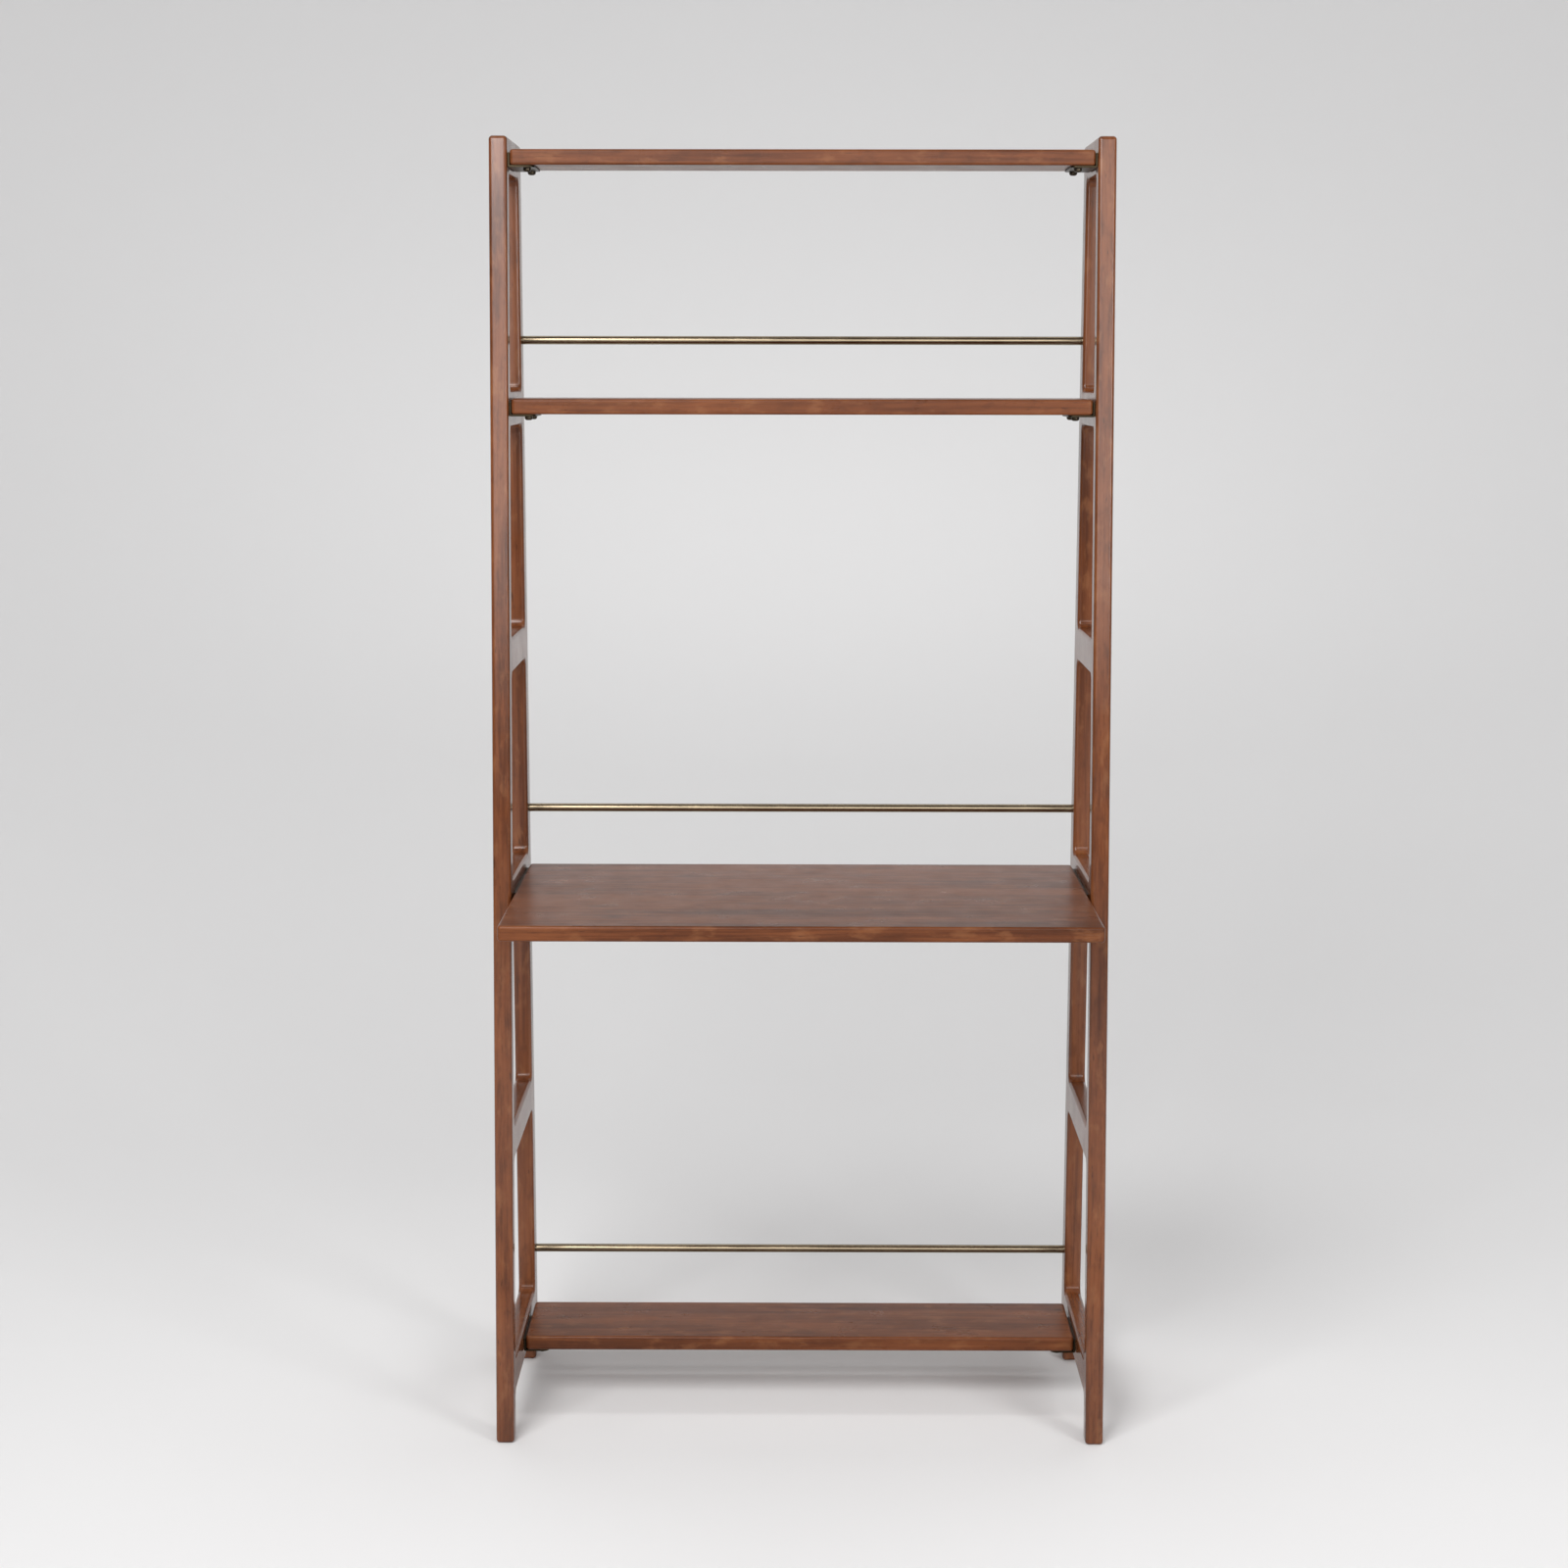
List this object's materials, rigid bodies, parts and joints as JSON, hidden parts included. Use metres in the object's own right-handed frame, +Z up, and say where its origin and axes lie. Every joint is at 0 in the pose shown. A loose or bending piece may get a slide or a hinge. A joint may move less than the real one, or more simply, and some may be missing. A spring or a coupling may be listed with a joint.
{
  "type": "ladder desk with shelves",
  "caption": "Free-standing ladder desk: windowed side frames carry a deep desk board, narrow shelves above and below it, and thin brass rods along the back.",
  "frame": {"origin": "on the floor under the middle of the outer box", "axes": "+X along the boards to the viewer's right, +Y to the back, +Z up"},
  "size_m": [0.85, 0.471, 1.798],
  "materials": {
    "frame_wood": "satin lacquer over reddish-brown solid wood",
    "board_wood": "satin lacquer over reddish-brown solid wood, grain along the board",
    "rod_brass": "antique brass, softly polished",
    "bracket_brass": "antique brass, brushed",
    "fastener_bronze": "dark bronze plated steel"
  },
  "bodies": {
    "root": {"front_leg_left": "frame_wood", "back_leg_left": "frame_wood", "bottom_rail_left": "frame_wood", "lower_rail_left": "frame_wood", "desk_rail_left": "frame_wood", "middle_rail_left": "frame_wood", "second_rail_left": "frame_wood", "top_rail_left": "frame_wood", "front_leg_right": "frame_wood", "back_leg_right": "frame_wood", "bottom_rail_right": "frame_wood", "lower_rail_right": "frame_wood", "desk_rail_right": "frame_wood", "middle_rail_right": "frame_wood", "second_rail_right": "frame_wood", "top_rail_right": "frame_wood", "top_shelf": "board_wood", "second_shelf": "board_wood", "desk_board": "board_wood", "bottom_shelf": "board_wood", "upper_rod": "rod_brass", "middle_rod": "rod_brass", "lower_rod": "rod_brass", "top_bracket_left": "bracket_brass", "second_bracket_left": "bracket_brass", "desk_bracket_left": "bracket_brass", "bottom_bracket_left": "bracket_brass", "top_bracket_right": "bracket_brass", "second_bracket_right": "bracket_brass", "desk_bracket_right": "bracket_brass", "bottom_bracket_right": "bracket_brass", "top_bolt_front_left": "fastener_bronze", "top_bolt_rear_left": "fastener_bronze", "second_bolt_front_left": "fastener_bronze", "second_bolt_rear_left": "fastener_bronze", "desk_bolt_front_left": "fastener_bronze", "desk_bolt_rear_left": "fastener_bronze", "bottom_bolt_front_left": "fastener_bronze", "bottom_bolt_rear_left": "fastener_bronze", "top_bolt_front_right": "fastener_bronze", "top_bolt_rear_right": "fastener_bronze", "second_bolt_front_right": "fastener_bronze", "second_bolt_rear_right": "fastener_bronze", "desk_bolt_front_right": "fastener_bronze", "desk_bolt_rear_right": "fastener_bronze", "bottom_bolt_front_right": "fastener_bronze", "bottom_bolt_rear_right": "fastener_bronze", "top_screw_middle_left": "fastener_bronze", "second_screw_middle_left": "fastener_bronze", "desk_screw_front_left": "fastener_bronze", "desk_screw_rear_left": "fastener_bronze", "bottom_screw_middle_left": "fastener_bronze", "top_screw_middle_right": "fastener_bronze", "second_screw_middle_right": "fastener_bronze", "desk_screw_front_right": "fastener_bronze", "desk_screw_rear_right": "fastener_bronze", "bottom_screw_middle_right": "fastener_bronze"}
  },
  "joints": []
}
